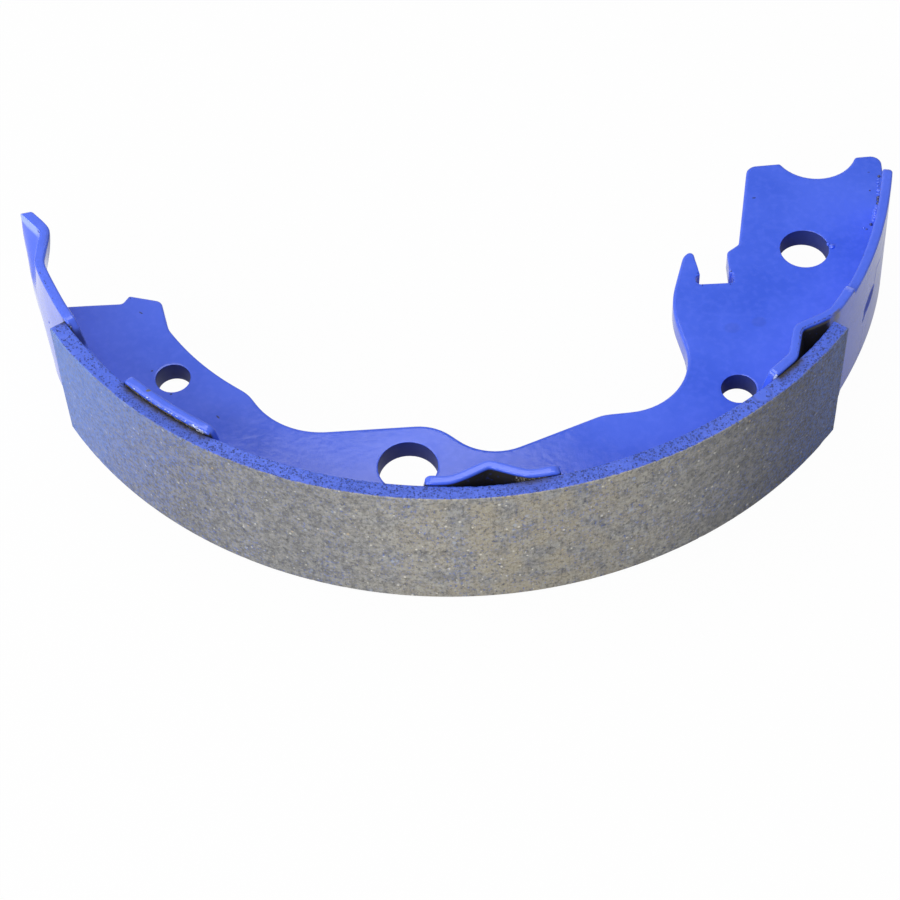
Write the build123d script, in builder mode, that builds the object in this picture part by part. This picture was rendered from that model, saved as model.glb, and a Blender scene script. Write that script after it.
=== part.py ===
"""Drum brake shoe: a flat web inside a rolled table, with a friction lining bonded to the table.

The drum's axis is the Z axis. The shoe lies on the lower lands of its table, at Z = 0.
Angles are in degrees about the drum's axis, counted from +X, and lengths are in millimetres.
An inset is a distance inwards from the table's inner face, where the web is seated.
"""

import os
from math import asin, cos, degrees, radians, sin

from build123d import *

# Friction lining
drum_radius = 100.0
lining_thickness = 3.5
lining_width = 34.5
lining_angles = (-149.7, -37.8)

# Table: a strip rolled to the lining's inner face
table_thickness = 2.2
table_angles = (-168.7, -9.9)
table_end_corner = 1.6

# Lands: where the table's edges stand out to slide on the backing plate
land_half_width = 18.0
end_half_width = 16.5
shoulder_angle = -32.25

# Recesses between the lands: the angles where each begins and ends at the lands' height,
# and how far its two ends lean inwards, along the table, on the way to its floor
recess_half_width = 12.0
recess_corner = 1.5
recess_angles = [(-148.7, -136.8), (-123.3, -95.5), (-79.5, -48.0)]
recess_leans = [(4.4, 0.4), (1.8, 1.2), (1.2, 5.0)]

# Nibs: dents pressed into the lands' edges, which bear on the backing plate
nib_angles = [-164.5, -87.8, -41.6]
nib_depth = 3.9
nib_half_width = 7.8
nib_length = 13.0
nib_bend_radius = 0.4

# Web, from the abutment, where it meets the table, to the ear at the anchor notch
web_thickness = 5.0
abutment_angle = -159.7
ear_angle = 0.1
ear_overhang = 1.3
ear_corner = 2.4
ear_gap = 0.6

# Web's inner edge, corner by corner from the abutment to the hook: angles, then insets
# with corner radii
abutment_step_angle = -156.0
abutment_step_corner = 1.2
edge_sweep_radius = 0.6 * drum_radius
inner_edge_angles = [
    -157.0, -153.4, -147.3, -138.0, -127.8, -119.1, -95.6, -87.5, -67.9, -53.7, -42.4,
]
inner_edge = [
    (16.0, 0.6),
    (21.6, 1.9),
    (19.2, 6.0),
    (18.3, edge_sweep_radius),
    (19.4, 8.5),
    (13.8, 17.0),
    (24.2, 10.5),
    (15.0, 12.0),
    (19.6, 9.0),
    (10.2, 14.0),
    (33.8, 23.0),
]

# Strut slot, with the hook on its left and a shoulder on its right: places are counted
# from the middle of the slot's floor
slot_angle = -32.6
slot_inset = 29.0
slot_width = 6.8
slot_floor_corner = 0.4
slot_relief_radius = 1.4
hook_back = (-6.5, 7.8)
hook_back_corner = 2.5
hook_tip = (-4.3, 9.3)
hook_tip_corner = 1.0
slot_mouth_height = 8.9
slot_mouth_corner = 1.2
shoulder = (6.2, 11.0)
shoulder_corner = 1.5

# Lever block's top corner, left of the anchor notch
block_angle = -1.2
block_inset = 28.8
block_corner = 2.5

# Anchor notch
notch_angle = 2.4
notch_inset = 13.0
notch_radius = 9.35
notch_corner = 0.8

# Holes through the web
hold_down_angle = -99.1
hold_down_inset = 13.0
hold_down_radius = 6.2
lever_pin_angle = -19.4
lever_pin_inset = 14.45
lever_pin_radius = 5.3
spring_hole_angles = [-138.8, -48.4]
spring_hole_insets = [12.05, 8.45]
spring_hole_radius = 3.7

# Derived sizes
table_outer = drum_radius - lining_thickness
table_inner = table_outer - table_thickness
table_middle = (table_outer + table_inner) / 2
mid_height = land_half_width
overrun = 2 * table_end_corner
nib_slope = nib_depth / nib_half_width
nib_lead = table_thickness / 3
ear_radius = table_inner + ear_overhang
ear_foot_angle = table_angles[1] + degrees(ear_gap / ear_radius)


def facing_out(angle):
    """Plane on the drum's axis that faces outwards at an angle, with its Y along the axis."""
    a = radians(angle)
    return Plane(origin=(0, 0, mid_height), x_dir=(-sin(a), cos(a), 0), z_dir=(cos(a), sin(a), 0))


def across(angle, height):
    """Level plane at a height, with its X pointing outwards at an angle."""
    a = radians(angle)
    return Plane(origin=(0, 0, height), x_dir=(cos(a), sin(a), 0), z_dir=(0, 0, 1))


def on_web(angle, inset):
    """Point of the web at an angle and a distance in from the table."""
    a = radians(angle)
    return ((table_inner - inset) * cos(a), (table_inner - inset) * sin(a))


def along_table(angle, middle):
    """Distance along the table from a middle angle, seen straight on."""
    return table_middle * sin(radians(angle - middle))


def ring_sector(inner, outer, start, end):
    """Face between two arcs about the drum's axis."""
    with BuildSketch() as sector:
        with BuildLine():
            near = CenterArc((0, 0), inner, start, end - start)
            far = CenterArc((0, 0), outer, start, end - start)
            Line(near @ 0, far @ 0)
            Line(near @ 1, far @ 1)
        make_face()
    return sector.sketch


def nib_profile(base, depth, bend):
    """V that points to the drum's axis from a base line, with its point rounded."""
    half_width = depth / nib_slope
    with BuildSketch() as profile:
        with BuildLine():
            FilletPolyline((base, -half_width), (base - depth, 0), (base, half_width), radius=bend)
            Line((base, half_width), (base, -half_width))
        make_face()
    return profile.sketch


def past_end(half_width):
    """What is cut away past an end of the table, seen straight on, to leave its corners round."""
    with BuildSketch() as profile:
        Rectangle(4 * overrun, 2 * drum_radius)
        with Locations((drum_radius / 2, 0)):
            RectangleRounded(drum_radius, 2 * half_width, table_end_corner, mode=Mode.SUBTRACT)
    return profile.sketch


def recess_profile(left, right, left_lean, right_lean):
    """Recess in the table's upper edge, seen straight on, with its corners rounded."""
    clear = land_half_width + recess_corner
    with BuildSketch() as profile:
        with BuildLine():
            FilletPolyline(
                (left, clear),
                (left, land_half_width),
                (left + left_lean, recess_half_width),
                (right - right_lean, recess_half_width),
                (right, land_half_width),
                (right, clear),
                radius=recess_corner,
            )
            Line((right, clear), (left, clear))
        make_face()
    return profile.sketch


os.makedirs("parts", exist_ok=True)

with BuildPart() as lining:
    with BuildSketch(Plane.XY.offset(mid_height)):
        add(ring_sector(table_outer, drum_radius, *lining_angles))
    extrude(amount=lining_width / 2, both=True)

with BuildPart() as table:
    # Strip, a little long at both ends until the nibs are in
    start, end = table_angles
    extra = degrees(overrun / table_outer)
    with BuildSketch(Plane.XY.offset(mid_height)):
        add(ring_sector(table_inner, table_outer, start - extra, end + extra))
    extrude(amount=land_half_width, both=True)

    # Nibs, at both edges: the wall swells inwards, and its outer face is dented to match
    for side in (1, -1):
        edge = mid_height + side * land_half_width
        root = edge - side * nib_length
        for angle in nib_angles:
            for face, bend, mode in (
                (table_inner, nib_bend_radius + table_thickness, Mode.ADD),
                (table_outer, nib_bend_radius, Mode.SUBTRACT),
            ):
                depth = nib_depth + nib_lead
                with BuildSketch(across(angle, edge)):
                    add(nib_profile(face + nib_lead, depth, bend))
                with BuildSketch(across(angle, root)):
                    add(nib_profile(face + nib_lead, nib_lead, bend * nib_lead / depth))
                loft(mode=mode)

    # Recesses between the lands
    for (left, right), leans in zip(recess_angles, recess_leans):
        middle = (left + right) / 2
        with BuildSketch(facing_out(middle)):
            add(recess_profile(along_table(left, middle), along_table(right, middle), *leans))
            mirror(about=Plane.XZ)
        extrude(amount=drum_radius, mode=Mode.SUBTRACT)

    # Lower shoulder beyond the last land
    with BuildSketch(facing_out(end)):
        with Locations((along_table(shoulder_angle, end), end_half_width)):
            Rectangle(drum_radius, drum_radius, align=(Align.MIN, Align.MIN))
        mirror(about=Plane.XZ)
    extrude(amount=drum_radius, mode=Mode.SUBTRACT)

    # Ends
    with BuildSketch(facing_out(start)):
        add(past_end(land_half_width))
    with BuildSketch(facing_out(end)):
        add(past_end(end_half_width), rotation=180)
    extrude(amount=drum_radius, mode=Mode.SUBTRACT)

with BuildPart() as web:
    with BuildSketch(Plane.XY.offset(mid_height)) as outline:
        floor_x, floor_y = on_web(slot_angle, slot_inset)
        slot_left, slot_right = floor_x - slot_width / 2, floor_x + slot_width / 2
        abutment_y = on_web(abutment_angle, 0)[1]
        step_x = abutment_y / sin(radians(abutment_step_angle)) * cos(radians(abutment_step_angle))
        corners = [
            (step_x, abutment_y, abutment_step_corner),
            *[
                (*on_web(angle, inset), corner)
                for angle, (inset, corner) in zip(inner_edge_angles, inner_edge)
            ],
            (floor_x + hook_back[0], floor_y + hook_back[1], hook_back_corner),
            (floor_x + hook_tip[0], floor_y + hook_tip[1], hook_tip_corner),
            (slot_left, floor_y, slot_floor_corner),
            (slot_right, floor_y, slot_floor_corner),
            (slot_right, floor_y + slot_mouth_height, slot_mouth_corner),
            (floor_x + shoulder[0], floor_y + shoulder[1], shoulder_corner),
            (*on_web(block_angle, block_inset), block_corner),
        ]
        with BuildLine():
            seat = CenterArc(
                (0, 0), table_inner, abutment_angle, ear_foot_angle - abutment_angle
            )
            ear = CenterArc((0, 0), ear_radius, ear_foot_angle, ear_angle - ear_foot_angle)
            Line(seat @ 1, ear @ 0)
            FilletPolyline(
                seat @ 0,
                *[(x, y) for x, y, corner in corners],
                ear @ 1,
                radius=[corner for x, y, corner in corners],
            )
        make_face()
        fillet(outline.vertices().sort_by_distance(ear @ 1)[0], ear_corner)

        # Anchor notch, with its mouth's corners rounded
        notch_centre = on_web(notch_angle, notch_inset)
        with Locations(notch_centre):
            Circle(notch_radius, mode=Mode.SUBTRACT)
        fillet(outline.vertices().sort_by_distance(notch_centre)[:2], notch_corner)

        # Reliefs in the strut slot's corners
        relief_y = floor_y + slot_relief_radius
        with Locations((slot_left, relief_y), (slot_right, relief_y)):
            Circle(slot_relief_radius, mode=Mode.SUBTRACT)

        # Holes
        with Locations(on_web(hold_down_angle, hold_down_inset)):
            Circle(hold_down_radius, mode=Mode.SUBTRACT)
        with Locations(on_web(lever_pin_angle, lever_pin_inset)):
            Circle(lever_pin_radius, mode=Mode.SUBTRACT)
        with Locations(*map(on_web, spring_hole_angles, spring_hole_insets)):
            Circle(spring_hole_radius, mode=Mode.SUBTRACT)
    extrude(amount=web_thickness / 2, both=True)

lining.part.label = "lining"
export_step(lining.part, "parts/lining.step")
table.part.label = "table"
export_step(table.part, "parts/table.step")
web.part.label = "web"
export_step(web.part, "parts/web.step")
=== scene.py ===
from math import ceil, cos, degrees, pi, radians, sin, tan

import bmesh
import bpy
import numpy as np
from mathutils import Matrix, Vector
from mathutils.geometry import delaunay_2d_cdt
from mathutils.kdtree import KDTree


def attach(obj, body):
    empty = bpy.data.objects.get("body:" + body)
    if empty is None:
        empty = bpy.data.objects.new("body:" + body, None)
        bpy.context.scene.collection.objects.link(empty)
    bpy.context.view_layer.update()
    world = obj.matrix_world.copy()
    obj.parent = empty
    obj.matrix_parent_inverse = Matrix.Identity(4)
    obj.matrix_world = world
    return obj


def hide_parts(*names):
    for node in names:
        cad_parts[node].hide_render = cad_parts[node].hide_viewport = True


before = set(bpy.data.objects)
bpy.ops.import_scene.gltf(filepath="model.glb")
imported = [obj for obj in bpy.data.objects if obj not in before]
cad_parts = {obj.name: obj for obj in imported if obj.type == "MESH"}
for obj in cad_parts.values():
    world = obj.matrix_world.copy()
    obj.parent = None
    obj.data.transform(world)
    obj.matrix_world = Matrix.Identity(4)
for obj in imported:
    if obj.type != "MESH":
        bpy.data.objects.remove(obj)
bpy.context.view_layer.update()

# Lengths are in millimetres until a mesh is made, and angles in degrees about the drum's axis.
MM = 0.001
MID_HEIGHT = 18.0

# Table: a strip rolled round the drum's axis, drawn flat as (angle, height from its middle)
TABLE_THICKNESS = 2.2
TABLE_RADIUS = 95.4
LAND = 17.999
LOW_SHOULDER = 16.5
RECESS = 12.0
TABLE_START, TABLE_END = -168.7, -9.9
SHOULDER_ANGLE = -32.25
NIB_DEPTH = 3.8
NIB_LENGTH = 15.5

# Nibs pressed in at the strip's edges: angle, slope of the left and right flank, roundness of the
# left foot, and roundness of the bend inside
NIBS = [
    (-164.5, 0.5, 0.5, 0.9, 1.8),
    (-87.8, 0.5, 0.5, 0.9, 1.1),
    (-41.6, 0.58, 0.5, 0.35, 1.1),
]

# Recesses between the lands: angle, lean and corner radius of each end
RECESSES = [
    (-148.7, 4.4, 1.5, -136.65, 0.4, 1.6),
    (-122.8, 1.4, 1.7, -95.5, 1.2, 1.4),
    (-79.5, 1.2, 1.4, -49.4, 3.3, 1.2),
]

# Web
WEB_THICKNESS = 5.0
WEB_SEAT_RADIUS = 94.3
WEB_SEAT_START, WEB_SEAT_END = -159.2, -10.6
WEB_UPPER, WEB_LOWER = MID_HEIGHT + WEB_THICKNESS / 2, MID_HEIGHT - WEB_THICKNESS / 2

SLOT_MIDDLE = (55.4, -33.6)

# Small shifts of the web's outline, at the hook's tip, the slot's left wall and its right relief:
# place, reach, and shift across and up
OUTLINE_SHIFTS = [
    (49.9, -27.0, 2.5, 0.42, 0.75),
    (51.0, -33.6, 2.2, 0.72, 0.0),
    (51.3, -30.0, 1.8, 0.28, 0.0),
    (60.3, -33.9, 1.4, -0.75, 0.0),
]

# Lining
DRUM_RADIUS = 99.995
LINING_THICKNESS = 3.5
LINING_HALF_WIDTH = 17.25
LINING_START, LINING_END = -149.7, -37.8
LINING_TOP = MID_HEIGHT + LINING_HALF_WIDTH

# Rims rounded over: steps in a quarter turn, and the flat width kept beside the rounding
ROUND_STEPS = 4
RIM_FLAT = 0.3

ENAMEL_BLUE = (0.05, 0.122, 0.765, 1)
NAVY = (0.01, 0.014, 0.06, 1)
ADHESIVE = (0.02, 0.018, 0.016, 1)

# Nicks and stains in the web's upper face: place, turn, length, width and darkness
WEB_MARKS = [
    (-69.3, -35.7, -38, 1.0, 0.35, 0.85),
    (-66.4, -51.9, 20, 0.55, 0.45, 0.8),
    (-62.2, -58.4, 10, 0.6, 0.5, 0.85),
    (-52.2, -65.1, -52, 1.1, 0.38, 0.9),
    (66.0, -11.0, 5, 0.9, 0.42, 0.75),
    (92.3, -5.0, 0, 0.55, 0.4, 0.5),
    (63.2, -46.5, 0, 3.4, 2.8, 0.12),
    (57.3, -47.8, 0, 3.6, 3.0, 0.12),
]

# Dull marks in the table's outer face: place along the flat strip, height, turn, length and width
TABLE_MARKS = [
    (-40.7, 0.2, 4, 7.8, 5.6),
    (-43.6, -2.4, 25, 2.6, 1.4),
    (-37.0, 3.8, 84, 4.6, 0.5),
    (-34.2, 5.3, -22, 6.8, 0.45),
    (-30.0, 5.1, 46, 3.0, 0.5),
    (-26.6, 6.0, 8, 5.0, 0.4),
    (-261.0, 3.8, 60, 1.6, 0.5),
    (-259.0, 1.7, 60, 1.4, 0.5),
]

# Rust in the outer face's largest dull mark: place on the flat strip, turn, length and width
RUST_MARK = (-37.6, -1.2, 0, 20, 2.2, 1.8)

# Crumb of adhesive on the second land's edge
CRUMB = (-64.7, -69.4, 36.0)

# Witness of an ejector pin in the lining's upper side
PIN_MARK = (59.4, -77.4)

# Stray droplets and flash on the web's upper face: place, width and how far it is scorched
DROPLETS = [
    (81.35, -26.3, 1.4, 0.0), (80.6, -25.6, 0.8, 0.1), (89.0, -21.4, 0.45, 0.2),
    (94.4, -6.4, 0.8, 1.0), (94.1, -7.3, 0.6, 0.0), (93.9, -8.3, 0.7, 0.1),
    (93.8, -9.3, 0.7, 0.0), (93.8, -10.6, 1.1, 0.3), (93.6, -11.6, 0.9, 0.2),
    (93.35, -12.7, 0.9, 1.0), (93.2, -13.5, 0.8, 1.0), (93.05, -14.4, 0.9, 0.9),
    (92.7, -15.3, 1.1, 0.1), (92.5, -15.9, 1.2, 0.0), (92.25, -16.6, 1.3, 0.0),
    (92.0, -17.3, 1.35, 0.0), (91.8, -18.0, 1.35, 0.0), (91.6, -18.7, 1.25, 0.05),
    (91.4, -19.4, 1.1, 0.1), (92.6, -17.4, 0.8, 0.8), (92.3, -18.6, 0.8, 0.7),
    (90.7, -20.5, 0.8, 1.0), (89.5, -21.8, 0.5, 0.7), (91.8, -10.5, 0.4, 0.8),
]

# Camera: a long lens, above and in front of the friction face, turned a little to the left
CAMERA_TILT, CAMERA_ROLL = 53.3146, -2.761
CAMERA_AIM, CAMERA_DISTANCE = (-4.045, -76.575, 20.455), 526.434
CAMERA_LENS, CAMERA_SENSOR = 101.983, 36.0

# How white the floor looks to the camera, and how white the floor and the sky look in reflections
# at the right and at the left
FLOOR_WHITENESS = 0.975
MIRRORED_WHITENESS = (0.32, 1.0)
MIRRORED_SKY = (0.5, 1.0)
SKY_LEVEL = 0.32

# Soft square lamps: place and side in metres, and level
LAMPS = {
    "Front softbox": ((-0.5, -0.85, 0.65), 0.7, 0.55),
    "Left softbox": ((-1.1, -0.2, 0.5), 0.6, 0.3),
    "Top softbox": ((-0.15, 0.2, 1.2), 0.9, 0.5),
}


# ---------------------------------------------------------------- outlines

def rounded_outline(corners, step):
    """Closed outline through corners given as (x, y, radius), with a point about every step."""
    points = []
    count = len(corners)
    for i, (x, y, radius) in enumerate(corners):
        here = Vector((x, y))
        before = (Vector(corners[i - 1][:2]) - here).normalized()
        after = (Vector(corners[(i + 1) % count][:2]) - here).normalized()
        half = before.angle(after) / 2
        if radius <= 0 or half > 0.499 * pi:
            points.append(here)
            continue
        reach = radius / tan(half)
        centre = here + (before + after).normalized() * radius / sin(half)
        start, end = here + before * reach, here + after * reach
        first, turn = start - centre, pi - 2 * half
        side = 1 if first.cross(end - centre) > 0 else -1
        pieces = max(3, ceil(degrees(turn) / 12))
        for k in range(pieces + 1):
            points.append(centre + Matrix.Rotation(side * turn * k / pieces, 2) @ first)
    return divided(np.array(points), step)


def divided(points, step):
    """Closed outline with its long runs divided evenly."""
    out = []
    for a, b in zip(points, np.roll(points, -1, 0)):
        run = np.linalg.norm(b - a)
        if run < 1e-6:
            continue
        pieces = max(1, round(run / step))
        out += [a + (b - a) * k / pieces for k in range(pieces)]
    return np.array(out)


def smooth_outline(points, step, sharpest=50):
    """Closed curve through the points, smooth wherever they turn by less than the sharpest angle."""
    after = np.roll(points, -1, 0) - points
    length = np.linalg.norm(after, axis=1)
    ahead = after / length[:, None]
    behind = np.roll(ahead, 1, 0)
    turn = np.degrees(np.arccos(np.clip((ahead * behind).sum(1), -1, 1)))
    tangent = np.roll(points, -1, 0) - np.roll(points, 1, 0)
    tangent /= np.linalg.norm(tangent, axis=1)[:, None]
    sharp = (turn > sharpest)[:, None]
    leaving, arriving = np.where(sharp, ahead, tangent), np.where(sharp, behind, tangent)
    out = []
    for i in range(len(points)):
        j = (i + 1) % len(points)
        swing = [float(np.clip(t @ ahead[i], -1, 1)) for t in (leaving[i], arriving[j])]
        reach = [length[i] * 2 / (3 * (1 + s)) for s in swing]
        bend = sum(degrees(np.arccos(s)) for s in swing)
        a, d = points[i], points[j]
        b, c = a + leaving[i] * reach[0], d - arriving[j] * reach[1]
        pieces = max(1, ceil(length[i] / step), ceil(bend / 9))
        for k in range(pieces):
            t = k / pieces
            s = 1 - t
            out.append(s**3 * a + 3 * s * s * t * b + 3 * s * t * t * c + t**3 * d)
    return np.array(out)


def plate_rims(solid):
    """Outlines round a flat plate's upper face, outer one first, from its CAD solid."""
    work = bmesh.new()
    work.from_mesh(solid.data)
    bmesh.ops.remove_doubles(work, verts=work.verts, dist=1e-3 * MM)
    top = max(v.co.z for v in work.verts)
    upper = {f for f in work.faces if all(top - v.co.z < 1e-3 * MM for v in f.verts)}
    onward = {}
    for face in upper:
        for loop in face.loops:
            if not any(f in upper for f in loop.edge.link_faces if f is not face):
                onward[loop.vert.index] = loop.link_loop_next.vert.index
    work.verts.ensure_lookup_table()
    rims = []
    while onward:
        first, here = next(iter(onward.items()))
        rim = [first]
        del onward[first]
        while here != first:
            rim.append(here)
            here = onward.pop(here)
        rims.append(np.array([work.verts[i].co.xy / MM for i in rim]))
    work.free()
    return sorted(rims, key=lambda rim: -abs(area(rim)))


def area(rim):
    x, y = rim.T
    return 0.5 * float((x * np.roll(y, -1) - y * np.roll(x, -1)).sum())


def leftward(rim):
    """Mitred step to the left of a closed outline, for each of its points."""
    ahead = np.roll(rim, -1, 0) - rim
    ahead /= np.linalg.norm(ahead, axis=1)[:, None]
    side = np.stack([-ahead[:, 1], ahead[:, 0]], 1)
    both = side + np.roll(side, 1, 0)
    size = np.linalg.norm(both, axis=1)[:, None]
    both = np.where(size > 1e-6, both / np.maximum(size, 1e-6), side)
    return both / np.maximum((both * side).sum(1)[:, None], 0.6)


def inside(points, rims):
    """Which points lie within the outlines, by counting crossings."""
    crossings = np.zeros(len(points), int)
    px, py = points[:, 0:1], points[:, 1:2]
    for rim in rims:
        x0, y0 = rim.T
        x1, y1 = np.roll(rim, -1, 0).T
        spans = (y0 > py) != (y1 > py)
        with np.errstate(divide="ignore", invalid="ignore"):
            cross = x0 + (py - y0) * (x1 - x0) / (y1 - y0)
        crossings += (spans & (px < cross)).sum(1)
    return crossings % 2 == 1


# ---------------------------------------------------------------- plates

def rounded_plate(rims, thickness, front_round, back_round, grid, wall_rows=2):
    """Plate within flat outlines, its rims rounded on both faces.

    Returns its points (x, y, depth from the middle), its faces, and how far round the rim each
    point is: 0 on the faces and up to 1 on the wall. A rim's rounding may vary along it.
    """
    points, faces, rounding, front_hold, back_hold = [], [], [], [], []
    total = start = 0
    fronts, backs = (np.broadcast_to(r, sum(map(len, rims))) for r in (front_round, back_round))
    face = thickness / 2
    for rim in rims:
        step = leftward(rim)
        count = len(rim)
        front, back = fronts[start:start + count], backs[start:start + count]
        start += count
        hold = np.maximum(front, back) + RIM_FLAT
        rows = [(hold, np.full(count, face), 0)]
        for k in range(ROUND_STEPS + 1):
            t = k / ROUND_STEPS * pi / 2
            rows.append((front * (1 - sin(t)), face - front * (1 - cos(t)), k / ROUND_STEPS))
        top, low = face - front, back - face
        for k in range(1, wall_rows + 1):
            rows.append((np.zeros(count), top + (low - top) * k / (wall_rows + 1), 1))
        for k in range(ROUND_STEPS, -1, -1):
            t = k / ROUND_STEPS * pi / 2
            rows.append((back * (1 - sin(t)), back * (1 - cos(t)) - face, k / ROUND_STEPS))
        rows.append((hold, np.full(count, -face), 0))
        first = total
        for inset, depth, share in rows:
            points.append(np.column_stack([rim + step * inset[:, None], depth]))
            rounding += [share] * count
            total += count
        for row in range(len(rows) - 1):
            a = first + row * count
            for i in range(count):
                j = (i + 1) % count
                faces.append((a + i, a + count + i, a + count + j, a + j))
        front_hold += range(first, first + count)
        back_hold += range(total - count, total)

    # Both faces are filled alike, with staggered points kept clear of the rims
    loops = [points[k * len(rows)][:, :2] for k in range(len(rims))]
    edge_points = np.concatenate(loops)
    tree = KDTree(len(edge_points))
    for i, p in enumerate(edge_points):
        tree.insert((*p, 0), i)
    tree.balance()
    low, high = edge_points.min(0), edge_points.max(0)
    xs = np.arange(low[0] + grid / 2, high[0], grid)
    ys = np.arange(low[1] + grid / 2, high[1], grid * 0.87)
    spots = np.array([(x + (grid / 2 if r % 2 else 0), y) for r, y in enumerate(ys) for x in xs])
    spots = spots[inside(spots, loops)]
    spots = np.array([p for p in spots if tree.find((*p, 0))[2] > 0.55 * grid])
    flat = np.concatenate([edge_points, spots]) if len(spots) else edge_points
    edges, offset = [], 0
    for loop in loops:
        n = len(loop)
        edges += [(offset + i, offset + (i + 1) % n) for i in range(n)]
        offset += n
    made, _, tris, origin, _, _ = delaunay_2d_cdt([Vector(p) for p in flat], edges, [], 0, 1e-7)
    middles = np.array([np.mean([made[i][:] for i in t], 0) for t in tris])
    kept = [t for t, ok in zip(tris, inside(middles, loops)) if ok]
    for ids, depth in ((front_hold, face), (back_hold, -face)):
        number, extra = {}, []
        for k, olds in enumerate(origin):
            if olds and olds[0] < len(edge_points):
                number[k] = ids[olds[0]]
            else:
                number[k] = total + len(extra)
                extra.append((*made[k], depth))
        for t in kept:
            a, b, c = (number[i] for i in t)
            faces.append((a, b, c) if depth > 0 else (c, b, a))
        points.append(np.array(extra).reshape(-1, 3))
        rounding += [0] * len(extra)
        total += len(extra)
    return np.concatenate(points), faces, np.array(rounding, float)


def placed(name, data):
    """New object in the scene."""
    made = bpy.data.objects.new(name, data)
    bpy.context.scene.collection.objects.link(made)
    return made


def add_values(mesh, name, values):
    """Give each of a mesh's points a value, which materials and nodes read by its name."""
    layer = mesh.attributes.new(name, "FLOAT", "POINT")
    layer.data.foreach_set("value", np.asarray(values, np.float32))


def piece(name, points, faces, material, flat=None, **values):
    """Mesh object from points in millimetres, smooth, with its own attributes."""
    mesh = bpy.data.meshes.new(name)
    mesh.from_pydata((np.asarray(points) * MM).tolist(), [], faces)
    mesh.materials.append(material)
    mesh.polygons.foreach_set("use_smooth", [True] * len(mesh.polygons))
    for key, value in values.items():
        add_values(mesh, key, value)
    if flat is not None:
        layer = mesh.uv_layers.new(name="Unrolled")
        corner = np.empty(len(mesh.loops), int)
        mesh.loops.foreach_get("vertex_index", corner)
        layer.data.foreach_set("uv", (flat[corner] * MM).astype(np.float32).ravel())
    mesh.validate()
    mesh.update()
    return placed(name, mesh)


def noise_along(length, pitch, seed):
    """Smooth random run of values from -1 to 1, with about one swing per pitch."""
    local = np.random.default_rng(seed)
    knots = local.uniform(-1, 1, max(4, ceil(length[-1] / pitch) + 2))
    return np.interp(length / pitch, np.arange(len(knots)), knots)


def ramp(value, low, high):
    """0 below low and 1 above high, with an easy rise between them."""
    t = np.clip((value - low) / (high - low), 0, 1)
    return t * t * (3 - 2 * t)


def window(value, low, full, still, gone):
    """0 up to low, 1 from full to still, and 0 again from gone on, with an easy rise and fall."""
    return ramp(value, low, full) * ramp(-value, -gone, -still)


def near(at, angle, width):
    """Hump of 1 at an angle, about so wide."""
    return np.exp(-(((at - angle) / width) ** 2))


# ---------------------------------------------------------------- shader helpers

def feed(tree, socket, value):
    """Link a socket to another node's output, or set it to a plain value."""
    if isinstance(value, bpy.types.NodeSocket):
        tree.links.new(value, socket)
    else:
        socket.default_value = value


def node(tree, kind, sockets=None, **settings):
    made = tree.nodes.new(kind)
    for name, value in settings.items():
        setattr(made, name, value)
    for name, value in (sockets or {}).items():
        feed(tree, made.inputs[name], value)
    return made


def wire(tree, sockets, **values):
    """Link values to sockets by name."""
    for name, value in values.items():
        tree.links.new(value, sockets[name.replace("_", " ")])


def maths(tree, operation, a, b=0.0):
    return node(tree, "ShaderNodeMath", {0: a, 1: b}, operation=operation).outputs[0]


def times(tree, a, b):
    return maths(tree, "MULTIPLY", a, b)


def plus(tree, a, b):
    return maths(tree, "ADD", a, b)


def minus(tree, a, b):
    return maths(tree, "SUBTRACT", a, b)


def larger(tree, a, b):
    return maths(tree, "MAXIMUM", a, b)


def between(tree, value, low, high, out_low=0.0, out_high=1.0):
    """Value from low to high spread over out_low to out_high, eased at both ends."""
    sockets = {"Value": value, "From Min": low, "From Max": high, "To Min": out_low, "To Max": out_high}
    return node(tree, "ShaderNodeMapRange", sockets, interpolation_type="SMOOTHSTEP").outputs[0]


def blend(tree, share, a, b):
    """Colour a, turning into colour b as the share goes from 0 to 1."""
    return node(tree, "ShaderNodeMix", {0: share, 6: a, 7: b}, data_type="RGBA").outputs[2]


def laid(tree, shade, mask, strength, colour):
    """The shade with a colour laid over it where the mask is, at a strength."""
    return blend(tree, times(tree, mask, strength), shade, colour)


def mix_value(tree, share, a, b):
    return node(tree, "ShaderNodeMix", {0: share, 2: a, 3: b}).outputs[0]


def noise(tree, place, size, detail=2.0, rough=0.5, out="Fac"):
    """Noise whose lumps are about size across, in millimetres."""
    sockets = {"Vector": place, "Scale": 1 / (size * MM), "Detail": detail, "Roughness": rough}
    return node(tree, "ShaderNodeTexNoise", sockets).outputs[out]


def wander(tree, place, size, swing):
    """Random value from minus to plus about half the swing, to make a border ragged."""
    return times(tree, minus(tree, noise(tree, place, size, 4, 0.65), 0.5), swing)


def ragged(tree, value, place, size, swing, low, high, top=1.0):
    """Value from low to high spread over 0 to top, with borders that wander by noise."""
    return between(tree, plus(tree, value, wander(tree, place, size, swing)), low, high, 0.0, top)


def stretched(tree, place, across, along_face):
    """Place scaled, so that what is drawn on it is longer where the scale is under 1."""
    sockets = {"Vector": place, "Scale": (across, along_face, 1.0)}
    return node(tree, "ShaderNodeMapping", sockets).outputs[0]


def spot(tree, place, x, y, z, turn, length, width):
    """Mask of one small oval mark at a place, turned about the vertical, in millimetres."""
    sockets = {
        "Vector": place, "Location": (x * MM, y * MM, z * MM), "Rotation": (0, 0, radians(turn)),
        "Scale": (length * MM / 2, width * MM / 2, 1.0),
    }
    centred = node(tree, "ShaderNodeMapping", sockets, vector_type="TEXTURE").outputs[0]
    away = node(tree, "ShaderNodeVectorMath", {0: centred}, operation="LENGTH").outputs["Value"]
    return between(tree, away, 1.15, 0.7)


def attribute(tree, name):
    return node(tree, "ShaderNodeAttribute", attribute_name=name).outputs["Fac"]


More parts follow.
